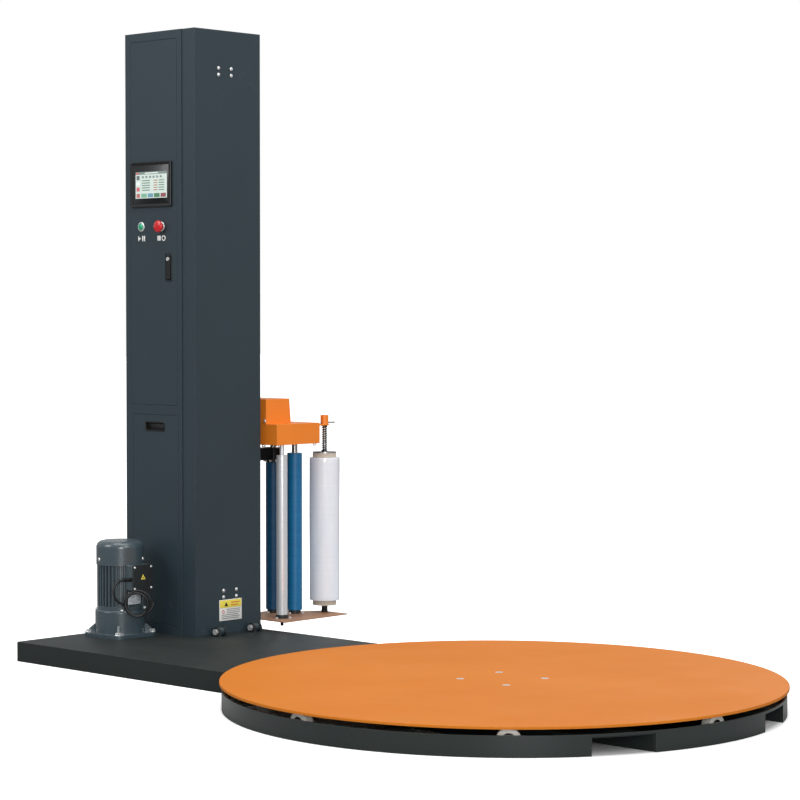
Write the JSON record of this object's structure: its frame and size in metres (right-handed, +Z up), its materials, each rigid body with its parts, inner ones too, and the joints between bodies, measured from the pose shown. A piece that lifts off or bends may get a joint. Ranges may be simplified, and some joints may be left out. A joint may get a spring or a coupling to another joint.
{
  "type": "turntable pallet wrapper",
  "caption": "Turntable pallet wrapper with a powered round table, a folding control mast and a lifting film carriage with pre-stretch rollers.",
  "frame": {"origin": "point on the floor under the turntable axis, in the middle of the base floor's underside", "axes": "+X from the mast towards the turntable, +Y towards the film carriage side, +Z up"},
  "size_m": [2.5805, 1.6498, 2.087],
  "materials": {
    "mast_grey": "satin powder coat",
    "base_grey": "satin paint",
    "orange_paint": "satin powder coat",
    "motor_grey": "metallic enamel",
    "bright_steel": "zinc plated",
    "black_steel": "blackened",
    "aluminium": "turned",
    "blue_rubber": "ground",
    "black_plastic": "matt",
    "red_plastic": "gloss",
    "green_plastic": "gloss",
    "white_polyurethane": "smooth",
    "stretch_film": "clear gloss",
    "cardboard": "matt",
    "panel_grey": "matt",
    "cable_black": "matt"
  },
  "bodies": {
    "base": {"skirt_ring": "base_grey", "base_floor": "base_grey", "fork_tunnels": "base_grey", "spider_frame": "base_grey", "base_box": "base_grey", "hinge_pins": "bright_steel", "wheel_mounts": "bright_steel", "drive_chain": "black_steel", "gearbox": "motor_grey", "motor_body": "motor_grey", "fan_cowl": "motor_grey", "terminal_box": "motor_grey", "cable_glands": "black_plastic", "motor_lead_upper": "cable_black", "motor_lead_coil": "cable_black", "motor_lead_lower": "cable_black"},
    "turntable": {"turntable_disc": "orange_paint", "turntable_hub": "bright_steel", "disc_screws": "bright_steel", "driven_sprocket": "black_steel"},
    "drive_shaft": {"drive_sprocket": "black_steel"},
    "motor_rotor": {"motor_fan": "black_plastic"},
    "mast": {"mast_column": "mast_grey", "door_frame": "mast_grey", "mast_cap": "mast_grey", "guide_rails": "base_grey", "electrical_panel": "panel_grey", "lift_gearmotor": "motor_grey", "lift_chain": "black_steel"},
    "upper_door": {"upper_door": "mast_grey", "touch_screen": "black_plastic"},
    "latch": {"latch_handle": "black_plastic"},
    "start_button": {"start_button": "green_plastic"},
    "stop_button": {"stop_button": "red_plastic"},
    "lower_cover": {"lower_cover": "mast_grey"},
    "lift_drive_wheel": {"lift_sprocket_top": "black_steel"},
    "lift_idle_wheel": {"lift_sprocket_low": "black_steel"},
    "carriage": {"carriage_frame": "base_grey", "guide_shoes": "black_plastic", "gear_housing": "orange_paint", "tower_cover": "orange_paint", "film_motor": "motor_grey", "bottom_plate": "orange_paint", "roller_bearings": "bright_steel", "roller_clutch": "black_steel", "spindle_bracket": "orange_paint", "spindle_spring": "bright_steel"},
    "front_roller": {"stretch_roller_front": "blue_rubber"},
    "rear_roller": {"stretch_roller_rear": "blue_rubber"},
    "idler": {"idler_roller": "aluminium"},
    "film_roll": {"film_core": "cardboard", "film_wrap": "stretch_film"},
    "spindle": {"film_spindle": "bright_steel"},
    "support_wheel_1": {"support_wheel_1": "white_polyurethane"},
    "support_wheel_2": {"support_wheel_2": "white_polyurethane"},
    "support_wheel_3": {"support_wheel_3": "white_polyurethane"},
    "support_wheel_4": {"support_wheel_4": "white_polyurethane"},
    "support_wheel_5": {"support_wheel_5": "white_polyurethane"},
    "support_wheel_6": {"support_wheel_6": "white_polyurethane"},
    "support_wheel_7": {"support_wheel_7": "white_polyurethane"}
  },
  "joints": [
    {"name": "turntable_spin", "type": "hinge", "parent": "base", "child": "turntable", "pos_m": [0, 0, 0.083], "axis": [0, 0, 1], "continuous": true},
    {"name": "drive_shaft_spin", "type": "hinge", "parent": "base", "child": "drive_shaft", "pos_m": [-1.632, -0.05, 0.029], "axis": [0, 0, 1], "continuous": true},
    {"name": "motor_rotor_spin", "type": "hinge", "parent": "base", "child": "motor_rotor", "pos_m": [-1.632, -0.05, 0.33], "axis": [0, 0, 1], "continuous": true},
    {"name": "mast_fold", "type": "hinge", "parent": "base", "child": "mast", "pos_m": [-1.371, 0.244, 0.08], "axis": [0, 1, 0], "range_deg": [0, 80]},
    {"name": "upper_door_swing", "type": "hinge", "parent": "mast", "child": "upper_door", "pos_m": [-1.712, 0.0723, 1.447], "axis": [0, 0, -1], "range_deg": [0, 110]},
    {"name": "latch_lift", "type": "hinge", "parent": "upper_door", "child": "latch", "pos_m": [-1.5205, 0.074, 1.262], "axis": [1, 0, 0], "range_deg": [0, 35]},
    {"name": "start_press", "type": "slide", "parent": "upper_door", "child": "start_button", "axis": [0, 1, 0], "range_m": [0, 0.004], "stiffness_N_per_m": 700, "springref_m": -0.004},
    {"name": "stop_press", "type": "slide", "parent": "upper_door", "child": "stop_button", "axis": [0, 1, 0], "range_m": [0, 0.005]},
    {"name": "lower_cover_tilt", "type": "hinge", "parent": "mast", "child": "lower_cover", "pos_m": [-1.589, 0.0723, 0.097], "axis": [1, 0, 0], "range_deg": [0, 6]},
    {"name": "carriage_lift", "type": "slide", "parent": "mast", "child": "carriage", "axis": [0, 0, 1], "range_m": [0, 1.18]},
    {"name": "lift_drive_spin", "type": "hinge", "parent": "mast", "child": "lift_drive_wheel", "pos_m": [-1.5665, 0.3, 1.99], "axis": [0, 1, 0], "continuous": true},
    {"name": "lift_idle_spin", "type": "hinge", "parent": "mast", "child": "lift_idle_wheel", "pos_m": [-1.5665, 0.3, 0.165], "axis": [0, 1, 0], "continuous": true},
    {"name": "front_roller_spin", "type": "hinge", "parent": "carriage", "child": "front_roller", "pos_m": [-1.444, 0.59, 0.4], "axis": [0, 0, 1], "continuous": true},
    {"name": "rear_roller_spin", "type": "hinge", "parent": "carriage", "child": "rear_roller", "pos_m": [-1.51641, 0.55599, 0.4], "axis": [0, 0, 1], "continuous": true},
    {"name": "idler_spin", "type": "hinge", "parent": "carriage", "child": "idler", "pos_m": [-1.38, 0.464, 0.4], "axis": [0, 0, 1], "continuous": true},
    {"name": "film_spin", "type": "hinge", "parent": "carriage", "child": "film_roll", "pos_m": [-1.4, 0.694, 0.4], "axis": [0, 0, 1], "continuous": true},
    {"name": "spindle_lift", "type": "slide", "parent": "carriage", "child": "spindle", "axis": [0, 0, 1], "range_m": [0, 0.025], "stiffness_N_per_m": 600, "springref_m": -0.02, "deforming": ["spindle_spring"]},
    {"name": "support_wheel_1_spin", "type": "hinge", "parent": "base", "child": "support_wheel_1", "pos_m": [0.77928, -0.05176, 0.0407], "axis": [0.9978, -0.0663, 0], "continuous": true},
    {"name": "support_wheel_2_spin", "type": "hinge", "parent": "base", "child": "support_wheel_2", "pos_m": [0.58764, 0.51444, 0.0407], "axis": [0.7524, 0.6587, 0], "continuous": true},
    {"name": "support_wheel_3_spin", "type": "hinge", "parent": "base", "child": "support_wheel_3", "pos_m": [0.05176, 0.77928, 0.0407], "axis": [0.0663, 0.9978, 0], "continuous": true},
    {"name": "support_wheel_4_spin", "type": "hinge", "parent": "base", "child": "support_wheel_4", "pos_m": [-0.51444, 0.58764, 0.0407], "axis": [-0.6587, 0.7524, 0], "continuous": true},
    {"name": "support_wheel_5_spin", "type": "hinge", "parent": "base", "child": "support_wheel_5", "pos_m": [-0.58764, -0.51444, 0.0407], "axis": [-0.7524, -0.6587, 0], "continuous": true},
    {"name": "support_wheel_6_spin", "type": "hinge", "parent": "base", "child": "support_wheel_6", "pos_m": [-0.05176, -0.77928, 0.0407], "axis": [-0.0663, -0.9978, 0], "continuous": true},
    {"name": "support_wheel_7_spin", "type": "hinge", "parent": "base", "child": "support_wheel_7", "pos_m": [0.51444, -0.58764, 0.0407], "axis": [0.6587, -0.7524, 0], "continuous": true}
  ],
  "couplings": [
    {"joint": "drive_shaft_spin", "follows": "turntable_spin", "ratio": 2.9286},
    {"joint": "motor_rotor_spin", "follows": "turntable_spin", "ratio": 117.14},
    {"joint": "lift_drive_spin", "follows": "carriage_lift", "rad_per_m": -26.316},
    {"joint": "lift_idle_spin", "follows": "carriage_lift", "rad_per_m": -26.316},
    {"joint": "rear_roller_spin", "follows": "front_roller_spin", "ratio": -0.40351},
    {"joint": "support_wheel_1_spin", "follows": "turntable_spin", "ratio": -22.971},
    {"joint": "support_wheel_2_spin", "follows": "turntable_spin", "ratio": -22.971},
    {"joint": "support_wheel_3_spin", "follows": "turntable_spin", "ratio": -22.971},
    {"joint": "support_wheel_4_spin", "follows": "turntable_spin", "ratio": -22.971},
    {"joint": "support_wheel_5_spin", "follows": "turntable_spin", "ratio": -22.971},
    {"joint": "support_wheel_6_spin", "follows": "turntable_spin", "ratio": -22.971},
    {"joint": "support_wheel_7_spin", "follows": "turntable_spin", "ratio": -22.971}
  ]
}
